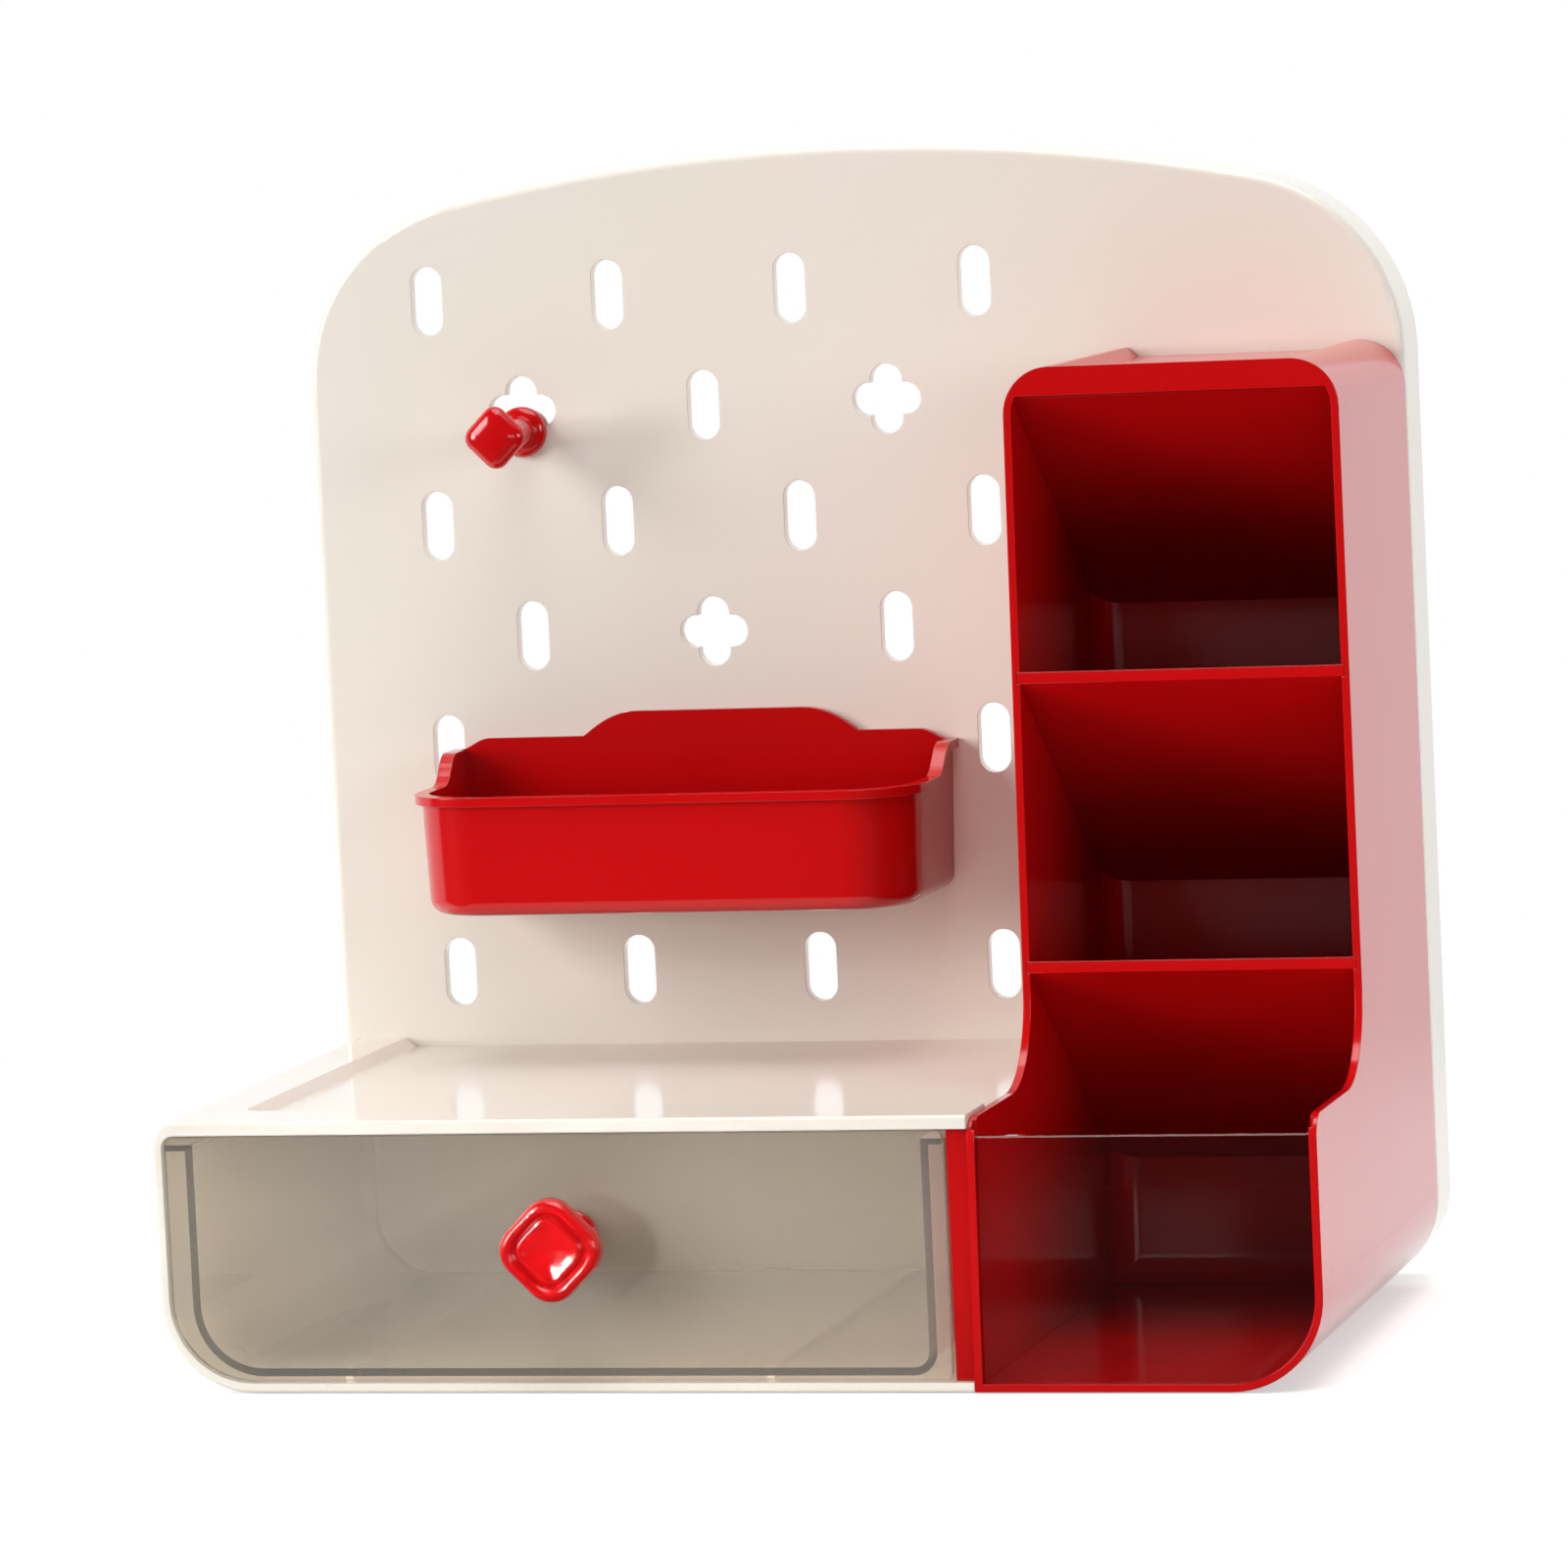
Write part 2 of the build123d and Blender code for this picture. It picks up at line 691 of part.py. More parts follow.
def drawer_knob():
    """Knob: a diamond head on a waisted stem; a rim and a groove round a sunk pyramid."""
    root_y = front_y + drawer_front_setback
    face_y = root_y - knob_reach
    head_back = face_y + knob_head_depth
    place = Pos(knob_x, knob_z)
    head = along_y(place * diamond(knob_radius, knob_corner), face_y, head_back)
    head = chamfer(head.faces().sort_by(Axis.Y)[0].edges(), knob_front_bevel)
    head = chamfer(head.faces().sort_by(Axis.Y)[-1].edges(), knob_rear_bevel)
    well = place * diamond(knob_radius - knob_rim, knob_corner - knob_rim)
    head -= along_y(well, face_y - 1, face_y + knob_groove_depth)
    plateau = place * diamond(knob_plateau_radius, knob_plateau_corner)
    top_y = face_y + knob_plateau_drop
    plateau = along_y(plateau, top_y, head_back - knob_rear_bevel)
    plateau = chamfer(plateau.faces().sort_by(Axis.Y)[0].edges(), knob_plateau_drop)
    head += plateau
    side = knob_hollow_radius * math.sqrt(2)
    mouth = Plane.XZ.offset(-top_y) * place * Rot(Z=45) * Rectangle(side, side)
    lean = math.degrees(math.atan(side / 2 / knob_hollow_depth))
    head -= extrude(mouth, 0.95 * knob_hollow_depth, dir=(0, 1, 0), taper=lean)
    stem_end = knob_reach - knob_head_depth
    stem_outline = Polyline(
        (0, 0),
        (knob_base_radius, 0),
        (knob_base_radius, knob_base_height),
        (knob_stem_radius, knob_base_height + knob_base_radius - knob_stem_radius),
        (knob_stem_radius, stem_end - knob_base_radius + knob_stem_radius),
        (knob_base_radius, stem_end),
        (0, stem_end),
        close=True,
    )
    stem = Pos(knob_x, root_y, knob_z) * Rot(X=180) * revolve(make_face(stem_outline), Axis.Y)
    hole = rod(knob_x, knob_z, knob_screw_radius + fit_gap / 2, root_y - knob_screw_length, root_y + 1)
    return head + stem - hole


def knob_screw():
    """Screw through the drawer front into the knob, with a bevelled head."""
    root_y = front_y + drawer_front_setback + drawer_front_wall
    screw = rod(knob_x, knob_z, knob_screw_radius, root_y - knob_screw_length, root_y)
    head = rod(knob_x, knob_z, knob_screw_head_radius, root_y, root_y + knob_screw_head)
    rim = head.faces().sort_by(Axis.Y)[-1].edges()
    return screw + chamfer(rim, knob_screw_head / 2)


# ------------------------------------------------------------------------ basket
def basket_band(depth):
    """Side view of the rim, so deep: level at the front, rising in an S to the sides."""
    near = basket_back_y() - basket_depth - 2 * basket_lip
    start = basket_back_y() - basket_depth + basket_rise_start
    end = start + basket_rise_length
    far = basket_back_y() + 1
    edge = Line((near, basket_rim_z), (start, basket_rim_z))
    edge += sweep_up((start, basket_rim_z), (end, basket_side_z))
    edge += Line((end, basket_side_z), (far, basket_side_z))
    edge += Line((far, basket_side_z), (far, basket_side_z - depth))
    edge += Line((far, basket_side_z - depth), (end, basket_side_z - depth))
    edge += sweep_up((start, basket_rim_z - depth), (end, basket_side_z - depth))
    edge += Line((start, basket_rim_z - depth), (near, basket_rim_z - depth))
    edge += Line((near, basket_rim_z - depth), (near, basket_rim_z))
    half = basket_width
    return along_x(make_face(edge), basket_centre_x - half, basket_centre_x + half)


def basket_back_y():
    """The basket's flat back hangs just in front of the board."""
    return board_y - slide_gap


def basket_tub(inset, floor_z, foot_round):
    """A solid tub with a flat back: drafted front and sides, rounded corners and foot."""
    lean = math.tan(math.radians(basket_draft))
    shrink = inset + (basket_rim_z - floor_z) * lean
    half = basket_width / 2 - shrink
    near = basket_back_y() - basket_depth + shrink
    far = basket_back_y() + basket_depth
    corner = basket_corner - inset
    plan = Pos(basket_centre_x, (near + far) / 2) * RectangleRounded(2 * half, far - near, corner)
    height = basket_side_z - floor_z + 1
    tub = extrude(Plane.XY.offset(floor_z) * plan, height, taper=-basket_draft)
    if foot_round > 0:
        tub = fillet(tub.faces().sort_by(Axis.Z)[0].edges(), foot_round)
    back_y = basket_back_y() - max(inset, 0)
    wide = basket_width
    return tub & block(-wide, wide, near - basket_wall, back_y, floor_z, basket_side_z + 1)


def basket_back_crest():
    """Top of the back wall: two falling shoulders and the raised tab in the middle."""
    lean = math.tan(math.radians(basket_draft))
    half = basket_width / 2 + (basket_side_z - basket_rim_z) * lean
    left = basket_centre_x - half
    right = basket_centre_x + half
    middle = tab_centre_x()
    top = basket_tab_top / 2
    base = basket_tab_base / 2
    low = basket_side_z - basket_wall
    inner_left = (left + basket_shoulder, basket_back_z)
    inner_right = (right - basket_shoulder, basket_back_z)
    edge = sweep_up((left, basket_side_z), inner_left)
    edge += Line(inner_left, (middle - base, basket_back_z))
    edge += Spline(
        (middle - base, basket_back_z),
        (middle - top, basket_tab_z),
        tangents=((1, basket_tab_rise), (1, 0)),
    )
    edge += Line((middle - top, basket_tab_z), (middle + top, basket_tab_z))
    edge += Spline(
        (middle + top, basket_tab_z),
        (middle + base, basket_back_z),
        tangents=((1, 0), (1, -basket_tab_rise)),
    )
    edge += Line((middle + base, basket_back_z), inner_right)
    edge += sweep_up(inner_right, (right, basket_side_z))
    edge += Polyline((right, basket_side_z), (right, low), (left, low), (left, basket_side_z))
    return along_y(make_face(edge), basket_back_y() - basket_wall, basket_back_y())


def tab_centre_x():
    """The tab stands almost in the middle between the two slots that carry the basket."""
    return first_slot_x + 1.5 * slot_pitch + basket_tab_shift


def basket_hook(x):
    """A neck that rests on the round foot of a slot, and a tongue behind the board."""
    half = basket_hook_width / 2
    slot_foot = first_row_z - basket_row * row_pitch - slot_length / 2
    corner_rise = slot_width / 2 - math.sqrt((slot_width / 2) ** 2 - half**2)
    neck_low = slot_foot + corner_rise + fit_gap
    neck_high = neck_low + basket_hook_height
    tongue_low = neck_low - basket_hook_drop
    behind = board_y + panel_wall + slide_gap
    root = basket_back_y() - basket_wall / 2
    hook = block(x - half, x + half, root, behind + basket_hook_wall, neck_low, neck_high)
    hook += block(x - half, x + half, behind, behind + basket_hook_wall, tongue_low, neck_high)
    foot_round = basket_hook_round
    top_round = basket_hook_top_round
    ends = (foot_round, foot_round, top_round, top_round)
    outline = rounded(x - half, x + half, tongue_low, neck_high, *ends)
    return hook & along_y(outline, root, behind + basket_hook_wall)


def basket_hooks():
    """The two hooks, one slot pitch apart."""
    left = first_slot_x + slot_pitch
    return basket_hook(left) + basket_hook(left + slot_pitch)


def hanging_basket():
    """Open basket with a rolled lip that rises to the back, a tab and two hooks."""
    outer = basket_tub(0.0, basket_floor_z, basket_foot_round)
    inner = basket_tub(basket_wall, basket_floor_z + basket_wall, basket_foot_round / 2)
    body = (outer - inner) & basket_band(basket_side_z - basket_floor_z + 1)
    ring = basket_tub(-basket_lip, basket_rim_z - 2 * basket_lip_height, 0) - inner
    lip = ring & basket_band(basket_lip_height)
    return body + lip + basket_back_crest() + basket_hooks()


# ------------------------------------------------------------------------- peg
def peg_place():
    """The peg rests at the foot of the lower lobe of the left cross of the second row."""
    x = first_slot_x + slot_pitch / 2
    z = first_row_z - row_pitch - slot_length / 2 + peg_groove_radius + fit_gap
    return x, z


def peg_hook():
    """Peg with a diamond head, a collar, a groove for the board and a rear button."""
    x, z = peg_place()
    collar_back = board_y - slide_gap
    groove_back = board_y + panel_wall + slide_gap
    collar_front = collar_back - peg_flange
    head_front = board_y - peg_reach
    head_back = head_front + peg_head_depth
    peg = rod(x, z, peg_button_radius, groove_back, groove_back + peg_button)
    peg += rod(x, z, peg_groove_radius, collar_back - sink, groove_back + sink)
    collar = rod(x, z, peg_flange_radius, collar_front, collar_back)
    peg += chamfer(collar.faces().sort_by(Axis.Y)[0].edges(), peg_flange / 2)
    peg += rod(x, z, peg_neck_radius, head_back - sink, collar_front + sink)
    middle = (head_front + head_back) / 2
    outline = Plane.XZ.offset(-middle) * Pos(x, z) * diamond(peg_head_radius, peg_head_corner)
    head = extrude(outline, peg_head_depth / 2, dir=(0, 1, 0), taper=peg_head_rear_slope)
    head += extrude(outline, peg_head_depth / 2, dir=(0, -1, 0), taper=peg_head_front_slope)
    return peg + head


# ------------------------------------------------------------- screws and feet
def flange_screw(x, z):
    """Screw with a broad flat head that clamps the board onto a boss."""
    seat = board_y + panel_wall
    shank = rod(x, z, screw_radius, seat - screw_length, seat + touch)
    head = rod(x, z, screw_head_radius, seat, seat + screw_head)
    return shank + chamfer(head.faces().sort_by(Axis.Y)[-1].edges(), screw_head / 2)


def housing_screws():
    """The screws of the drawer housing, as one group."""
    return Compound(children=[flange_screw(x, z) for x, z in boss_places_housing()])


def holder_screws():
    """The screws of the pen holder, as one group."""
    return Compound(children=[flange_screw(x, z) for x, z in boss_places_holder()])


def foot_places():
    """Feet: two under the housing, then two under the holder; front before rear."""
    inset = 3 * foot_radius
    left = -half_width + base_radius + foot_radius
    right = holder_right - base_radius - 2 * foot_radius
    return [
        (left, front_y + inset),
        (left, board_y - inset),
        (right, front_y + inset),
        (right, board_y - inset),
    ]


def foot(index):
    """One soft pad, let into the underside."""
    x, y = foot_places()[index]
    height = foot_stand + foot_sink
    return Pos(x, y, height / 2) * Cylinder(foot_radius, height)


# ------------------------------------------------------------------------ output
SUBPARTS = {
    "pegboard_panel": pegboard_panel,
    "drawer_housing": drawer_housing,
    "pen_holder_shell": pen_holder_shell,
    "holder_top_baffle": holder_top_baffle,
    "holder_upper_divider": holder_upper_divider,
    "holder_lower_divider": holder_lower_divider,
    "holder_front_guard": holder_front_guard,
    "drawer_box": drawer_box,
    "drawer_knob": drawer_knob,
    "knob_screw": knob_screw,
    "hanging_basket": hanging_basket,
    "peg_hook": peg_hook,
    "housing_screws": housing_screws,
    "holder_screws": holder_screws,
    "foot_front_left": lambda: foot(0),
    "foot_rear_left": lambda: foot(1),
    "foot_front_right": lambda: foot(2),
    "foot_rear_right": lambda: foot(3),
}

os.makedirs("parts", exist_ok=True)
for node, make in SUBPARTS.items():
    shape = make()
    export_step(shape, f"parts/{node}.step")
    print(f"{node}: {len(shape.solids())} solid(s), {shape.volume / 1000:.2f} cm3")
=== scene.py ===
# %% [markdown]
# # A pegboard desk organizer in Blender
# The object is a moulded plastic organizer: a slotted back board, a drawer housing with a
# smoky clear drawer, a pen holder with slanted compartments, a hanging basket and a peg.
# The solid parts could be modelled here as well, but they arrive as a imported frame, in
# metres and already in place, so nothing has to be lined up. This script gives every
# surface its finish, makes the knob and the peg again with soft edges, and sets up the
# floor, the light and the camera.

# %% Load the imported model
import json
import math

import bmesh
import bpy
from mathutils import Matrix, Vector


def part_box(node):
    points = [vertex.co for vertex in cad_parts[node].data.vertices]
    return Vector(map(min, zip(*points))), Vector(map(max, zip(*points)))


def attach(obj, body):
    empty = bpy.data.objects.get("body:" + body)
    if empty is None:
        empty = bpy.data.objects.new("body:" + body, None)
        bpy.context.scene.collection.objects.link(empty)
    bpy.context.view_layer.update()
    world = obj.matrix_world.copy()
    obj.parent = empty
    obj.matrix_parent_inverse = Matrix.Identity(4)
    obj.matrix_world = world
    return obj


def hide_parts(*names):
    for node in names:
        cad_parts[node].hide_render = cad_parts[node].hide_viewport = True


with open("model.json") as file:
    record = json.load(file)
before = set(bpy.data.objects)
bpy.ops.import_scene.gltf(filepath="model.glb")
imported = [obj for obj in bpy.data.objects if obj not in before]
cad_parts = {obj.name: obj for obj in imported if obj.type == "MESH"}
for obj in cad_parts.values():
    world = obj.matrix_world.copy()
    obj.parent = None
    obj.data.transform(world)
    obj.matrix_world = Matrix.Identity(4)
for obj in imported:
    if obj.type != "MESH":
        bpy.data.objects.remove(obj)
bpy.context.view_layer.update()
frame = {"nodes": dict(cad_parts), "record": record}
nodes = frame["nodes"]
scene = bpy.context.scene

# %% [markdown]
# ## Small helpers for shader maths
# A finish changes a little from place to place, and Blender describes such a pattern with
# nodes. They could be wired one by one, but a pattern is easier to read as a formula. So
# one small class wraps an output socket and overloads the operators, and each expression
# adds its Math nodes. Every other node comes from one method that makes the node, sets its
# settings and then fills its sockets with numbers, colours or links.


# %% A socket that does arithmetic
class Value:
    """An output socket that can be used in Python expressions."""

    def __init__(self, shader, socket):
        self.shader = shader
        self.socket = socket

    def maths(self, operation, other, swap=False):
        """A Math node on this value and another; swap puts the other one first."""
        pair = (other, self) if swap else (self, other)
        return self.shader.node("Math", {"operation": operation}, {0: pair[0], 1: pair[1]})

    def __add__(self, other):
        return self.maths("ADD", other)

    def __sub__(self, other):
        return self.maths("SUBTRACT", other)

    def __rsub__(self, other):
        return self.maths("SUBTRACT", other, swap=True)

    def __mul__(self, other):
        return self.maths("MULTIPLY", other)

    __radd__ = __add__
    __rmul__ = __mul__


print("values can be added, subtracted and multiplied")


# %% A node tree under construction
class NodeTree:
    """The nodes of a material or a world, built one call at a time."""

    def __init__(self, name, kinds="materials", out="OutputMaterial"):
        self.owner = getattr(bpy.data, kinds).new(name)
        self.owner.use_nodes = True
        self.tree = self.owner.node_tree
        self.tree.nodes.clear()
        self.out = self.tree.nodes.new("ShaderNode" + out)

    def fill(self, socket, value):
        """Link a Value to a socket, or set the socket to a number or a colour."""
        if isinstance(value, Value):
            self.tree.links.new(value.socket, socket)
        else:
            socket.default_value = value

    def node(self, kind, settings=None, sockets=None, output=0):
        """One node: its settings first, then its sockets; one of its outputs comes back."""
        made = self.tree.nodes.new("ShaderNode" + kind)
        for name, value in (settings or {}).items():
            setattr(made, name, value)
        for name, value in (sockets or {}).items():
            self.fill(made.inputs[name], value)
        return Value(self, made.outputs[output])

    def show(self, surface):
        """Send a finished surface to the output."""
        self.fill(self.out.inputs["Surface"], surface)
        return self.owner


print("nodes are made by type, settings and sockets")


# %% Patterns that the finishes share
class Shader(NodeTree):
    """A node tree with the few patterns that this object needs."""

    def place(self):
        return self.node("TexCoord", output="Object")

    def axis(self, name, vector=None):
        """One coordinate of a place or a direction."""
        return self.node("SeparateXYZ", None, {0: vector or self.place()}, output=name)

    def rays(self, *kinds):
        """1 for light path rays of these kinds, and 0 for all others."""
        found = [self.node("LightPath", output=f"Is {kind} Ray") for kind in kinds]
        total = found[0]
        for ray in found[1:]:
            total = total.maths("MAXIMUM", ray)
        return total

    def noise(self, scale, detail=2.0, rough=0.5):
        """Soft patches; a scale of 10 gives patches of about a tenth of a metre."""
        settings = {"noise_dimensions": "3D"}
        sockets = {"Vector": self.place(), "Scale": scale, "Detail": detail, "Roughness": rough}
        return self.node("TexNoise", settings, sockets)

    def ramp(self, value, low, high):
        """Smoothly 0 below low and 1 above high."""
        settings = {"interpolation_type": "SMOOTHSTEP"}
        sockets = {"Value": value, "From Min": low, "From Max": high}
        return self.node("MapRange", settings, sockets)

    def blend(self, share, first, second):
        """A colour between two colours."""
        settings = {"data_type": "RGBA"}
        return self.node("Mix", settings, {0: share, 6: first, 7: second}, output=2)


print("patterns: place, axis, rays, noise, ramp and blend")

# %% [markdown]
# ## Colours
# The colours of the plastic are known as they look on a screen, from 0 to 255, and shaders
# count in light instead. They could be typed in as decimals, but nobody can read those, so
# a helper turns screen levels into linear light with the standard curve.


# %% Screen levels to linear light
def linear(level):
    """One channel from 0 to 255 as linear light: the sRGB curve."""
    level /= 255
    return level / 12.92 if level <= 0.04045 else ((level + 0.055) / 1.055) ** 2.4


def srgb(red, green, blue):
    """An opaque colour from three screen levels."""
    return (linear(red), linear(green), linear(blue), 1.0)


print("a screen level of 128 is", round(linear(128), 3), "of the full light")

# %% [markdown]
# ## Glossy moulded plastic
# Board, housing, holder, basket, knob and peg are injection moulded with a polished finish.
# The colour is even, but the surface is never perfect: it undulates a little where the
# plastic shrank, and handling leaves faint soft patches. One flat colour would look like a
# drawing, and a painted image would need an unwrapped mesh. Noise in Object coordinates
# needs neither: the colour hardly moves, roughness drifts over a few centimetres, and a
# very shallow bump bends the reflections.
#
# A Bevel node rounds the sharp edges in the shading, as the mould's edges are a few tenths
# of a millimetre round, and it adds no faces. The hollows are to look darker than the lamps
# make them, and less light overall would darken the rest too. So an Ambient Occlusion node
# finds the enclosed places, and painted shade turns the colour a deeper red there.

# %% Numbers of the moulded surface
TONE_PATCHES = (9.0, 3.0)
TONE_RANGE = (0.3, 0.75)
HANDLING_PATCHES = (38.0, 4.0, 0.6)
HANDLING_RANGE = (0.45, 0.75)
HANDLING_DULLS = 0.02
SWELL = (22.0, 1.0)
FINE_SWELL = (420.0, 2.0)
FINE_SHARE = 0.05
SWELL_STRENGTH = 0.05
SWELL_DEPTH = 0.002
EDGE_ROUND = 0.00045
EDGE_SAMPLES = 4
# Reach, range and samples of the painted shade in the hollows
SHADE_REACH = 0.08
SHADE_RANGE = (0.0, 0.75)
SHADE_SAMPLES = 6
MOULDED_IOR = 1.5
COAT = 0.1
COAT_ROUGHNESS = 0.04
print("edges are rounded by", EDGE_ROUND * 1000, "mm in the shading")


# %% Moulded plastic
def moulded_plastic(name, colour, deeper, roughness, hollow_shade=None):
    """Polished plastic: drifting gloss, undulation, soft edges, optional painted shade in
    hollows.
    """
    shader = Shader(name)
    drift = shader.noise(*TONE_PATCHES)
    handling = shader.ramp(shader.noise(*HANDLING_PATCHES), *HANDLING_RANGE)
    tone = shader.blend(shader.ramp(drift, *TONE_RANGE), colour, deeper)
    # Painted shade: an Ambient Occlusion node darkens the colour in enclosed places.
    if hollow_shade:
        openness = shader.node("AmbientOcclusion", {"samples": SHADE_SAMPLES},
                               {"Distance": SHADE_REACH}, "AO")
        tone = shader.blend(shader.ramp(openness, *SHADE_RANGE), hollow_shade, tone)
    edges = shader.node("Bevel", {"samples": EDGE_SAMPLES}, {"Radius": EDGE_ROUND})
    swell = shader.noise(*SWELL) + shader.noise(*FINE_SWELL) * FINE_SHARE
    bump = shader.node("Bump", None, {
        "Height": swell, "Strength": SWELL_STRENGTH, "Distance": SWELL_DEPTH, "Normal": edges,
    })
    plastic = shader.node("BsdfPrincipled", None, {
        "Base Color": tone,
        "Roughness": handling * HANDLING_DULLS + roughness,
        "Normal": bump,
        "IOR": MOULDED_IOR,
        "Coat Weight": COAT,
        "Coat Roughness": COAT_ROUGHNESS,
    })
    return shader.show(plastic)


# %% Cream and red
CREAM_ROUGHNESS = 0.1
RED_ROUGHNESS = 0.14

cream = moulded_plastic("cream_plastic", srgb(238, 232, 221), srgb(236, 229, 217),
                        CREAM_ROUGHNESS)
# The red gets a painted shade of deeper red in its hollows.
red = moulded_plastic("red_plastic", srgb(200, 11, 14), srgb(197, 10, 13),
                      RED_ROUGHNESS, hollow_shade=srgb(140, 5, 7))
print("plastics:", cream.name, red.name)

# %% [markdown]
# ## Clear plastic
# The drawer is smoky clear, and the guard of the lowest compartment is almost colourless.
# Both are thin walls that bend what stands behind them. Refracting plastic alone would do
# that, but lamp light doesn't pass it directly, and the inside of the drawer would be dark.
# So a Mix Shader gives shadow rays and matte light a tinted see-through film in its place,
# and the inside stays as light as it is in real life. The smoky plastic also keeps a tenth
# of its surface matte, a haze that makes the thin walls visible from the front.

# %% Clear walls
SMEAR_PATCHES = (26.0, 4.0, 0.6)
SMEAR_RANGE = (0.5, 0.8)
SMEAR_DULLS = 0.03
CLEAR_ROUGHNESS = 0.015
CLEAR_IOR = 1.49
SMOKE_HAZE = 0.1
NO_HAZE = 0.0


def clear_plastic(name, tint, film, haze):
    """Refracting plastic that passes lamp light and matte light as a tinted film."""
    shader = Shader(name)
    smear = shader.ramp(shader.noise(*SMEAR_PATCHES), *SMEAR_RANGE)
    glass = shader.node("BsdfPrincipled", None, {
        "Base Color": tint,
        "Roughness": smear * SMEAR_DULLS + CLEAR_ROUGHNESS,
        "IOR": CLEAR_IOR,
        "Transmission Weight": 1.0 - haze,
    })
    see_through = shader.node("BsdfTransparent", None, {"Color": film})
    lighting = shader.rays("Shadow", "Diffuse")
    return shader.show(shader.node("MixShader", None, {0: lighting, 1: glass, 2: see_through}))


smoke = clear_plastic("smoke_plastic", srgb(254, 248, 238), srgb(255, 253, 249), SMOKE_HAZE)
clear = clear_plastic("clear_plastic", srgb(254, 254, 254), srgb(254, 254, 254), NO_HAZE)
print("clear plastics:", smoke.name, clear.name)

# %% [markdown]
# ## Screws and feet
# The screws behind the board are plated steel, and the feet are dark soft rubber. Both are
# small, so a picture of scratches or grain would be wasted on them. One fine noise drives
# all that varies: on the steel it sets tone and gloss together, as worn plating is both
# darker and duller, and on the rubber it also gives the grain of a cast surface.

# %% Plated steel
WEAR_PATCHES = (900.0, 3.0, 0.6)
WEAR_DULLS = 0.2
STEEL_ROUGHNESS = 0.22


def plated_steel():
    """Plated steel with fine worn patches."""
    shader = Shader("screw_steel")
    wear = shader.noise(*WEAR_PATCHES)
    steel = shader.node("BsdfPrincipled", None, {
        "Base Color": shader.blend(wear, srgb(188, 190, 196), srgb(160, 162, 168)),
        "Metallic": 1.0,
        "Roughness": wear * WEAR_DULLS + STEEL_ROUGHNESS,
    })
    return shader.show(steel)


screw_steel = plated_steel()
print("steel:", screw_steel.name)

# %% Soft rubber
GRAIN_PATCHES = (1500.0, 3.0, 0.7)
GRAIN_STRENGTH = 0.4
GRAIN_DEPTH = 0.0003
GRAIN_DULLS = 0.15
RUBBER_ROUGHNESS = 0.6


def soft_rubber():
    """Dark rubber with a fine cast grain."""
    shader = Shader("foot_rubber")
    grain = shader.noise(*GRAIN_PATCHES)
    bump = shader.node("Bump", None, {
        "Height": grain, "Strength": GRAIN_STRENGTH, "Distance": GRAIN_DEPTH,
    })
    rubber = shader.node("BsdfPrincipled", None, {
        "Base Color": shader.blend(grain, srgb(48, 47, 46), srgb(60, 59, 57)),
        "Roughness": grain * GRAIN_DULLS + RUBBER_ROUGHNESS,
        "Normal": bump,
    })
    return shader.show(rubber)


foot_rubber = soft_rubber()
print("rubber:", foot_rubber.name)

# %% [markdown]
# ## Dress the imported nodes
# Each part of the real object is moulded in one material. The finishes could be handed out
# node by node, but the frame already names the material slot of every node, so one loop
# over its record dresses them all and can't forget one.

# %% Give each node its finish
FINISHES = {
    "cream_plastic": cream,
    "red_plastic": red,
    "smoke_plastic": smoke,
    "clear_plastic": clear,
    "screw_steel": screw_steel,
    "foot_rubber": foot_rubber,
}
for part in frame["record"]["subparts"]:
    for slot in nodes[part["node"]].material_slots:
        slot.material = FINISHES[part["material_slot"]]

# %% [markdown]
# ## Forms grown ring by ring
# The drawer's knob and the peg are small mouldings with a rounded diamond for a head. Their
# edges are fat and soft, which the solids keep plain. They could be sculpted, or shaped
# from a subdivided box, but both ways lose the measured sizes. Here a circle with four
# sides is a diamond, and bevelling its corners rounds it. That outline is extruded ring by
# ring, and each ring is scaled and lifted, so a list of radii and heights in millimetres
# describes the whole form. The round stems come from a circle with many sides.

# %% Outline of a form
MM = 0.001
DIAMOND_SIDES = 4
ROUND_SIDES = 64
CORNER_STEPS = 10


def first_ring(form, size, corner):
    """A circle, or a diamond with its corners rounded by a share of its radius."""
    sharp = size * (1 + corner * (math.sqrt(2) - 1))
    sides = DIAMOND_SIDES if corner else ROUND_SIDES
    bmesh.ops.create_circle(form, cap_ends=True, segments=sides, radius=sharp)
    if corner:
        bmesh.ops.bevel(form, geom=form.verts[:], offset=corner * size, offset_type="OFFSET",
                        affect="VERTICES", segments=CORNER_STEPS, profile=0.5, material=-1)


print("outlines have", ROUND_SIDES, "sides, or", DIAMOND_SIDES, "with rounded corners")


# %% One ring after another
def next_ring(form, edges, change, lift):
    """Extrude the open ring, scale the new one about the axis and lift it."""
    made = bmesh.ops.extrude_edge_only(form, edges=edges)["geom"]
    verts = [item for item in made if isinstance(item, bmesh.types.BMVert)]
    bmesh.ops.scale(form, vec=(change, change, 1), verts=verts)
    bmesh.ops.translate(form, vec=(0, 0, lift), verts=verts)
    return [item for item in made if isinstance(item, bmesh.types.BMEdge)]


def sink(form, lid, ring, height, depth):
    """Turn the lid on a ring into a flat-sided pyramid that goes down by depth."""
    rim = {vert for edge in ring for vert in edge.verts}
    reach = max(abs(vert.co.x) + abs(vert.co.y) for vert in rim)
    for vert in rim:
        vert.co.z -= depth * (1 - (abs(vert.co.x) + abs(vert.co.y)) / reach)
    bmesh.ops.poke(form, faces=lid, offset=0)
    centre = min(form.verts, key=lambda vert: vert.co.xy.length)
    centre.co = (0, 0, height - depth)
    for face in centre.link_faces:
        face.smooth = False


print("rings are extruded, scaled and lifted")


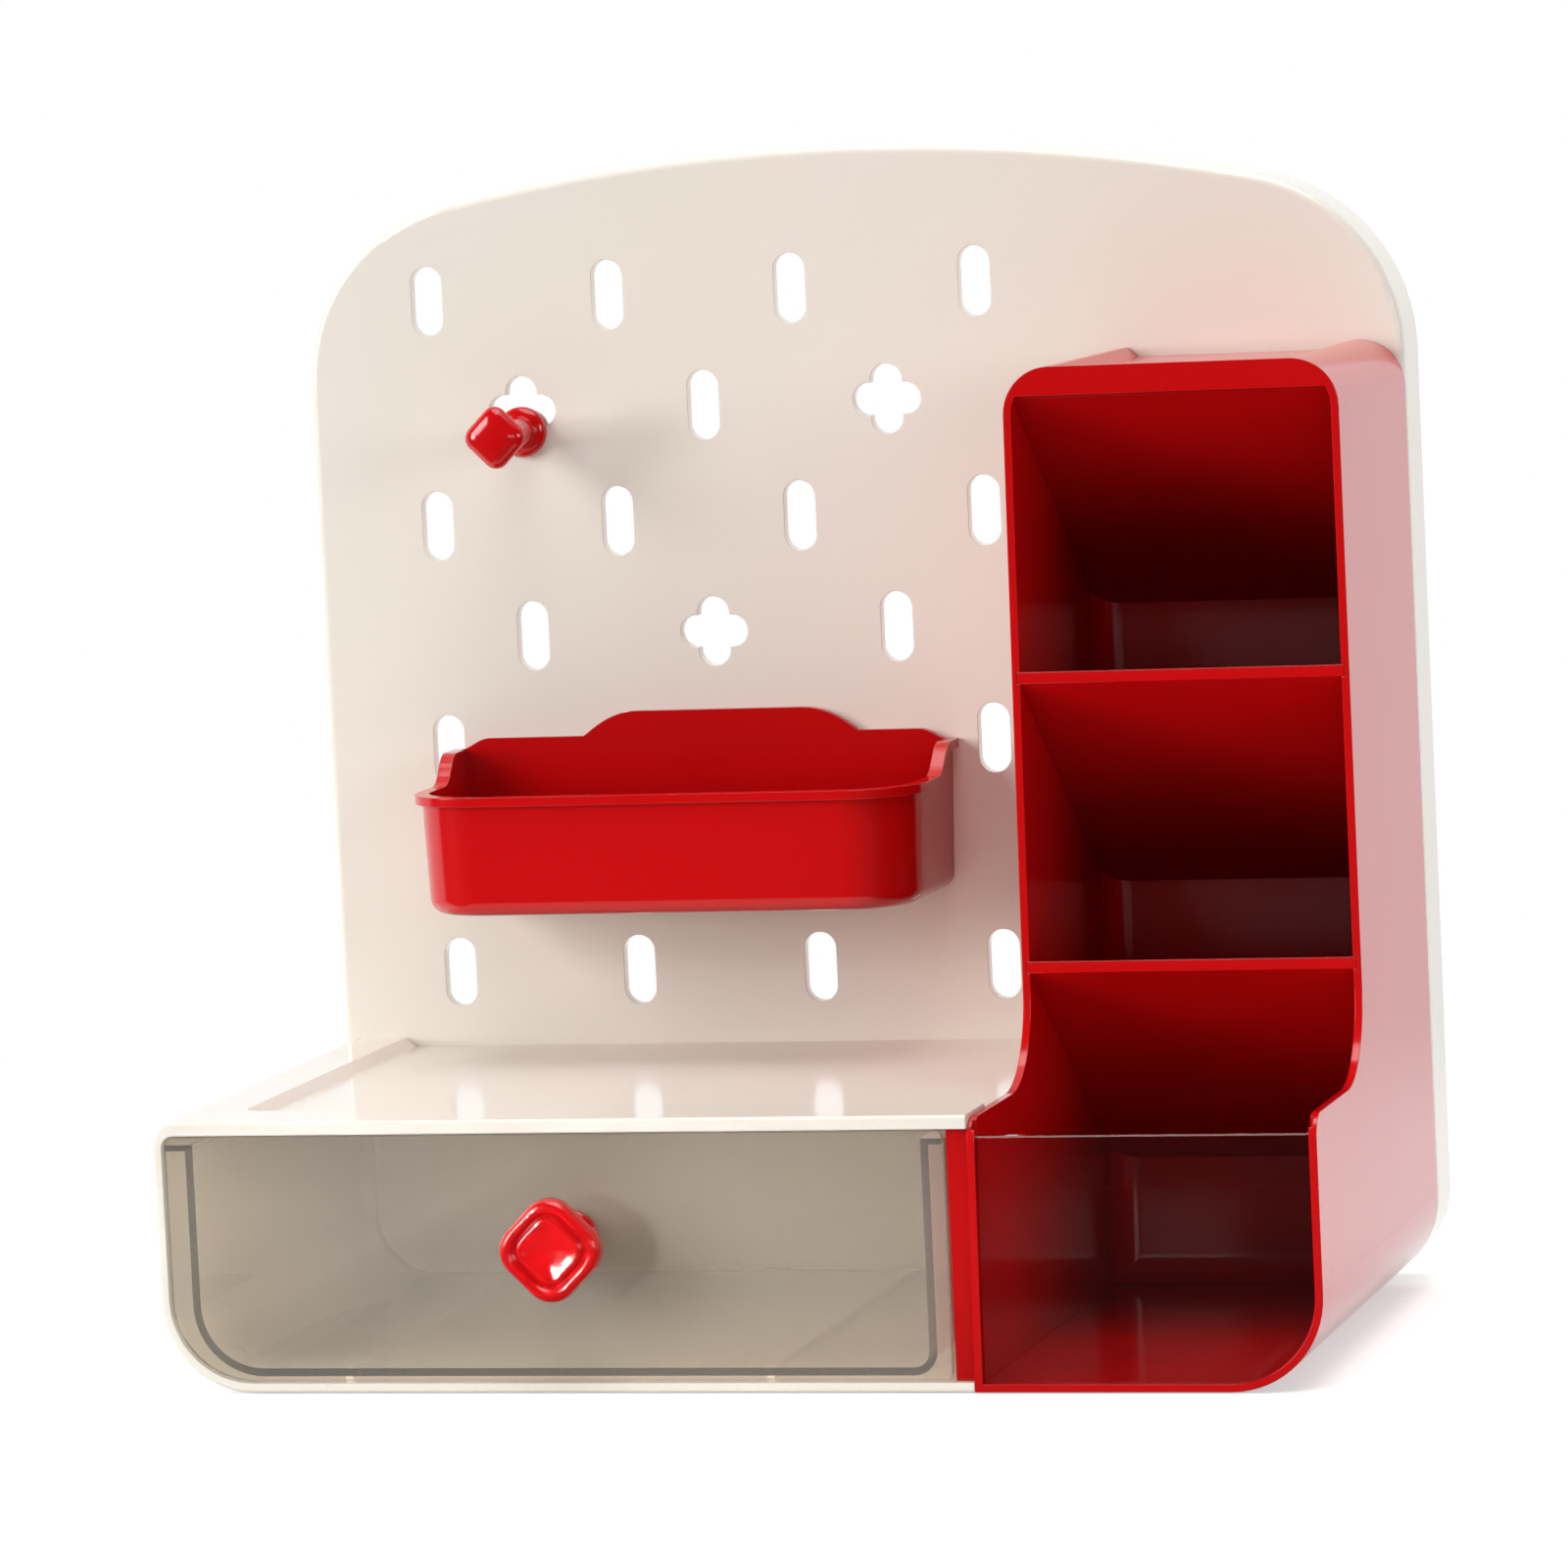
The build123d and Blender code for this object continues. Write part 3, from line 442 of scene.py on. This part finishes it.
# %% The whole form
def grow(rings, corner=0.0, sunk=0.0):
    """A closed form from (radius, height) rings in millimetres.

    corner rounds a diamond by that share of its radius, and without it the form is round.
    Where sunk is given, the end is a four-sided pyramid that goes down by that much.
    """
    form = bmesh.new()
    size, height = rings[0]
    first_ring(form, size, corner)
    bmesh.ops.translate(form, vec=(0, 0, height), verts=form.verts[:])
    edges = form.edges[:]
    for new_size, new_height in rings[1:]:
        edges = next_ring(form, edges, new_size / size, new_height - height)
        size, height = new_size, new_height
    for face in form.faces:
        face.smooth = True
    lid = bmesh.ops.contextual_create(form, geom=edges)["faces"]
    if sunk:
        sink(form, lid, edges, height, sunk)
    bmesh.ops.recalc_face_normals(form, faces=form.faces[:])
    return form


trial = grow([(1, 0), (1, 1)])
print("a plain round form has", len(trial.faces), "faces")
trial.free()

# %% Forms to one red object
SHARP_ANGLE = 38


def joined(name, forms, matrix):
    """One mesh from several forms, moved to its place."""
    whole = bmesh.new()
    for form in forms:
        part = bpy.data.meshes.new(name)
        form.to_mesh(part)
        form.free()
        whole.from_mesh(part)
        bpy.data.meshes.remove(part)
    bmesh.ops.transform(whole, matrix=matrix, verts=whole.verts[:])
    mesh = bpy.data.meshes.new(name)
    whole.to_mesh(mesh)
    whole.free()
    mesh.set_sharp_from_angle(angle=math.radians(SHARP_ANGLE))
    return mesh


def moulded_piece(name, forms, place, body):
    """One red object from grown forms; their height points to the front."""
    turn = Matrix.Rotation(math.radians(90), 4, "X") @ Matrix.Scale(MM, 4)
    mesh = joined(name, forms, Matrix.Translation(place) @ turn)
    piece = bpy.data.objects.new(name, mesh)
    scene.collection.objects.link(piece)
    piece.data.materials.append(red)
    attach(piece, body)
    return piece


def middle_of(box, y):
    """The middle of a node's box as it is seen from the front, at a depth of y."""
    low, high = box
    return ((low[0] + high[0]) / 2, y, (low[2] + high[2]) / 2)


print("faces that meet at more than", SHARP_ANGLE, "degrees stay sharp")

# %% [markdown]
# ## The drawer's knob
# The knob has a round foot, a stem that flares into the head, and a diamond head with fat
# edges, a soft groove inside them and a shallow sunk face. A turned profile would give a
# round head, so only the stem is grown from a circle, and the head from a diamond. The two
# overlap inside, where nobody sees it. The sunk face is flat sided, so it catches the light
# in four clear facets. The piece takes the place of the plain solid and rides the drawer.

# %% Knob
KNOB_REACH = 20.0
KNOB_CORNER = 0.54
KNOB_SUNK = 1.15
KNOB_STEM = [
    (7.6, 0), (7.6, 1.2), (6.9, 1.9), (5.9, 2.6), (5.6, 3.8), (5.6, 9.0), (6.2, 11.0),
    (7.6, 12.7), (7.6, 13.4),
]
KNOB_HEAD = [
    (9.2, 12.5), (11.0, 12.8), (12.3, 13.8), (12.9, 15.4), (12.9, 17.3), (12.7, 18.4),
    (12.2, 19.2), (11.4, 19.75), (10.8, 19.85), (10.2, 19.7), (9.7, 19.2), (9.3, 18.6),
    (8.9, 18.35), (8.6, 18.45), (8.3, 18.8), (7.9, 19.1), (7.3, 19.2), (6.7, 19.1),
]

knob_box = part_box("drawer_knob")
knob_root = knob_box[0][1] + KNOB_REACH * MM
knob_forms = [grow(KNOB_STEM), grow(KNOB_HEAD, KNOB_CORNER, KNOB_SUNK)]
knob = moulded_piece("soft_knob", knob_forms, middle_of(knob_box, knob_root), "drawer")
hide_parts("drawer_knob")
print("knob faces:", len(knob.data.polygons))

# %% [markdown]
# ## The peg
# The peg hangs in a cross-shaped opening of the board: a button behind it, a neck in it, a
# collar in front, then a round stem and a diamond head like a small pillow. The button and
# the neck have to fit the opening, so their rings follow the solid, and the stem takes the
# length of the solid's box. The head is listed by its depth from the tip, where its form is
# easiest to read, and closes in a point that is too small to see.

# %% Peg
PEG_CORNER = 0.44
PEG_COLLAR = 6.4
peg_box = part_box("peg_hook")
peg_length = (peg_box[1][1] - peg_box[0][1]) / MM

PEG_FOOT = [(5.3, 0), (5.6, 0.3), (5.6, 2.2), (3.6, 2.25), (3.6, PEG_COLLAR)]
COLLAR = [(6.6, 0.05), (6.7, 0.4), (6.7, 1.4), (6.2, 2.3), (5.2, 2.9), (4.2, 3.3), (3.8, 4.2)]
PEG_STEM = [(3.8, 8.0), (4.4, 6.2), (4.6, 5.0)]
PEG_HEAD = [
    (4.4, 6.3), (5.6, 6.1), (7.0, 5.4), (7.9, 4.5), (8.2, 3.5), (8.05, 2.6), (7.4, 1.7),
    (6.3, 0.95), (4.8, 0.42), (3.2, 0.14), (1.6, 0.03), (0.02, 0.0),
]


def from_tip(rings):
    """Rings given by their depth from the peg's tip, as heights from its other end."""
    return [(size, peg_length - depth) for size, depth in rings]


collar = [(size, PEG_COLLAR + lift) for size, lift in COLLAR]
peg_forms = [grow(PEG_FOOT + collar + from_tip(PEG_STEM)), grow(from_tip(PEG_HEAD), PEG_CORNER)]
peg = moulded_piece("soft_peg", peg_forms, middle_of(peg_box, peg_box[1][1]), "peg")
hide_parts("peg_hook")
print("peg faces:", len(peg.data.polygons))

# %% [markdown]
# ## Floor
# The object stands on a plain white floor against white. Strong lamps could burn the floor
# to white, but they would burn the pale plastic too. So the floor is matte and only lifted
# a little where the camera and the reflections see it, which keeps the soft shadow at the
# foot, and farther off it turns to a shining white that meets the background unseen.
#
# A glossy front mirrors what stands before it. The studio is dark there, and a floor that
# is white all over would cover the drawer with a milky haze. So the part of the floor in
# front of the object is almost black for rays that are mirrored, bent or scattered. It is
# fixed to the room, and other views find it in the same place.

# %% Numbers of the floor
FLOOR_HALF = 6.0
FLOOR_COLOUR = (0.8, 0.8, 0.8, 1.0)
FLOOR_LIFT = 0.5
FULL_WHITE = 1.0
WHITE_REACH = (0.25, 0.7)
FRONT_DARK = 0.03
FRONT_MIRRORED = (0.02, 0.09)
FRONT_SCATTERED = (0.25, 0.6)
print("the floor is white from", WHITE_REACH[1], "m on, and dark in front for reflections")


# %% Floor finish
def white_floor():
    """Matte by the object, shining white farther off, and dark in front for reflections."""
    shader = Shader("floor_white")
    seen = shader.rays("Camera", "Glossy", "Transmission")
    matte = shader.node("BsdfDiffuse", None, {"Color": FLOOR_COLOUR})
    lift = shader.node("Emission", None, {"Strength": seen * FLOOR_LIFT})
    near = shader.node("AddShader", None, {0: matte, 1: lift})
    white = shader.node("Emission", None, {"Strength": FULL_WHITE})
    distance = shader.node("VectorMath", {"operation": "LENGTH"}, {0: shader.place()}, "Value")
    far = shader.ramp(distance, *WHITE_REACH) * seen
    whole = shader.node("MixShader", None, {0: far, 1: near, 2: white})
    dark = shader.node("Emission", None, {"Strength": FRONT_DARK})
    forward = shader.axis("Y") * -1.0
    mirrored = shader.ramp(forward, *FRONT_MIRRORED) * shader.rays("Glossy")
    scattered = shader.ramp(forward, *FRONT_SCATTERED) * shader.rays("Diffuse", "Transmission")
    front = scattered + mirrored
    return shader.show(shader.node("MixShader", None, {0: front, 1: whole, 2: dark}))


# %% Floor piece
mesh = bpy.data.meshes.new("floor")
form = bmesh.new()
bmesh.ops.create_grid(form, x_segments=1, y_segments=1, size=FLOOR_HALF)
form.to_mesh(mesh)
form.free()
floor = bpy.data.objects.new("floor", mesh)
scene.collection.objects.link(floor)
floor.data.materials.append(white_floor())
print("floor:", 2 * FLOOR_HALF, "m square")

# %% [markdown]
# ## Surrounding
# A studio for small white things is white behind, above and at the sides, and dark in
# front. One world colour would light the object from everywhere and take the form away, and
# an environment picture would bring in a room. So the world is plain white, and its
# strength depends on the direction: full behind and less in front, with a softer loss for
# matte light, which fills the shadows, than for reflections. Light Path tells them apart,
# and the camera itself sees pure white everywhere.

# %% World
WORLD_LIGHT = 0.6
SOFT_LOSS = 0.8
FRONT_LOSS = 1.0 - FRONT_DARK
LOSS_MIRRORED = (-0.25, 0.1)
LOSS_THROUGH = (-0.1, 0.2)
LOSS_MATTE = (-0.3, 0.2)
WHITE = (1.0, 1.0, 1.0, 1.0)


def surrounding():
    """White all around, but dark in front of the object."""
    shader = Shader("surrounding", "worlds", "OutputWorld")
    forward = shader.axis("Y", shader.node("TexCoord", output="Generated")) * -1.0
    mirrored = shader.rays("Glossy") * (1.0 - shader.ramp(forward, *LOSS_MIRRORED) * FRONT_LOSS)
    through = (shader.rays("Transmission")
               * (1.0 - shader.ramp(forward, *LOSS_THROUGH) * FRONT_LOSS))
    lighting = (1.0 - shader.ramp(forward, *LOSS_MATTE) * SOFT_LOSS) * WORLD_LIGHT
    matte = 1.0 - shader.rays("Camera", "Glossy", "Transmission")
    strength = shader.rays("Camera") + mirrored + through + matte * lighting
    return shader.show(shader.node("Background", None, {"Color": WHITE, "Strength": strength}))


scene.world = surrounding()
print("world:", scene.world.name)

# %% [markdown]
# ## Lamps
# A wide sun-like key from the front left models the form and throws the soft shadows of the
# basket and the peg on the board. Soft boxes overhead and on both sides fill in, two narrow
# strips draw thin highlights along the edges, and a weak narrow beam goes through the clear
# front into the drawer, which the other lamps leave too dark. One large lamp would be
# simpler, but it gives either the shadows or the even brightness and never both. The powers
# stay low, so the cream front keeps its colour, and only the left side, which faces the
# key, comes close to white.

# %% Lamp helpers
CENTRE = (0, 0, 0.12)


def aimed_lamp(name, kind, place, power, target=CENTRE):
    """A lamp of some kind that faces the object."""
    light = bpy.data.lights.new(name, kind)
    light.energy = power
    lamp = bpy.data.objects.new(name, light)
    scene.collection.objects.link(lamp)
    lamp.location = place
    aim = Vector(target) - Vector(place)
    lamp.rotation_euler = aim.to_track_quat("-Z", "Y").to_euler()
    return light


def soft_lamp(name, place, width, height, power, target=CENTRE):
    """A rectangular soft box."""
    light = aimed_lamp(name, "AREA", place, power, target)
    light.shape = "RECTANGLE"
    light.size = width
    light.size_y = height
    return light


print("lamps face the point", CENTRE)

# %% Key lamp
KEY_PLACE = (-3.4, -2.7, 1.75)
KEY_STRENGTH = 1.75
KEY_WIDTH = 28

key = aimed_lamp("key_lamp", "SUN", KEY_PLACE, KEY_STRENGTH)
key.angle = math.radians(KEY_WIDTH)
print("key lamp:", KEY_STRENGTH, "W per square metre,", KEY_WIDTH, "degrees wide")

# %% Soft boxes and strips: place, width, height and power
SOFT_LAMPS = {
    "overhead_lamp": ((0.3, -0.4, 3.0), 2.2, 2.2, 60.0),
    "left_lamp": ((-3.5, -2.3, 0.4), 1.2, 0.6, 42.0),
    "front_lamp": ((1.4, -3.8, 0.5), 1.6, 0.8, 8.0),
    "right_lamp": ((3.4, -2.0, 0.9), 1.0, 1.2, 24.0),
    "left_strip": ((-1.9, -1.1, 0.25), 0.1, 0.9, 1.2),
    "right_strip": ((1.7, -0.55, 0.25), 0.08, 0.9, 1.0),
}
for name, (place, width, height, power) in SOFT_LAMPS.items():
    soft_lamp(name, place, width, height, power)
    print(name, power, "W")

# %% Beam into the drawer
DRAWER_FRONT = (-0.045, -0.078, 0.04)
BEAM_PLACE = (-0.6, -1.05, 0.16)
BEAM_SIZE = (0.15, 0.035)
BEAM_POWER = 0.016
BEAM_SPREAD = 4

beam = soft_lamp("drawer_lamp", BEAM_PLACE, *BEAM_SIZE, BEAM_POWER, DRAWER_FRONT)
beam.spread = math.radians(BEAM_SPREAD)
print("drawer lamp:", BEAM_POWER, "W,", BEAM_SPREAD, "degrees wide")

# %% [markdown]
# ## Camera
# The photograph was taken from about two metres with a long lens: the camera stands a
# little to the right of the front, slightly above the object, and is rolled by a few
# degrees. A constraint could aim it at the object, but it would leave out the roll. So
# the camera's axes are built from the three angles and become its matrix.

# %% Camera axes
CAMERA_AZIMUTH = math.radians(15.0755)
CAMERA_ELEVATION = math.radians(5.5244)
CAMERA_ROLL = math.radians(-2.7101)

back = Vector((
    math.sin(CAMERA_AZIMUTH) * math.cos(CAMERA_ELEVATION),
    -math.cos(CAMERA_AZIMUTH) * math.cos(CAMERA_ELEVATION),
    math.sin(CAMERA_ELEVATION),
))
right = Vector((math.cos(CAMERA_AZIMUTH), math.sin(CAMERA_AZIMUTH), 0))
up = back.cross(right)
rolled_right = right * math.cos(CAMERA_ROLL) + up * math.sin(CAMERA_ROLL)
rolled_up = up * math.cos(CAMERA_ROLL) - right * math.sin(CAMERA_ROLL)
turn = Matrix((rolled_right, rolled_up, back)).transposed()
print("the camera looks along", [round(-value, 3) for value in back])

# %% Camera and view
CAMERA_PLACE = Vector((0.51634, -1.92164, 0.33556))
CAMERA_LENS = 180.35
SENSOR_WIDTH = 36.0
FARTHEST = 50.0

lens = bpy.data.cameras.new("camera")
lens.lens = CAMERA_LENS
lens.sensor_width = SENSOR_WIDTH
lens.clip_end = FARTHEST
camera = bpy.data.objects.new("camera", lens)
scene.collection.objects.link(camera)
camera.matrix_world = Matrix.Translation(CAMERA_PLACE) @ turn.to_4x4()
scene.camera = camera
scene.view_settings.view_transform = "Standard"
print("camera at", [round(value, 3) for value in CAMERA_PLACE])
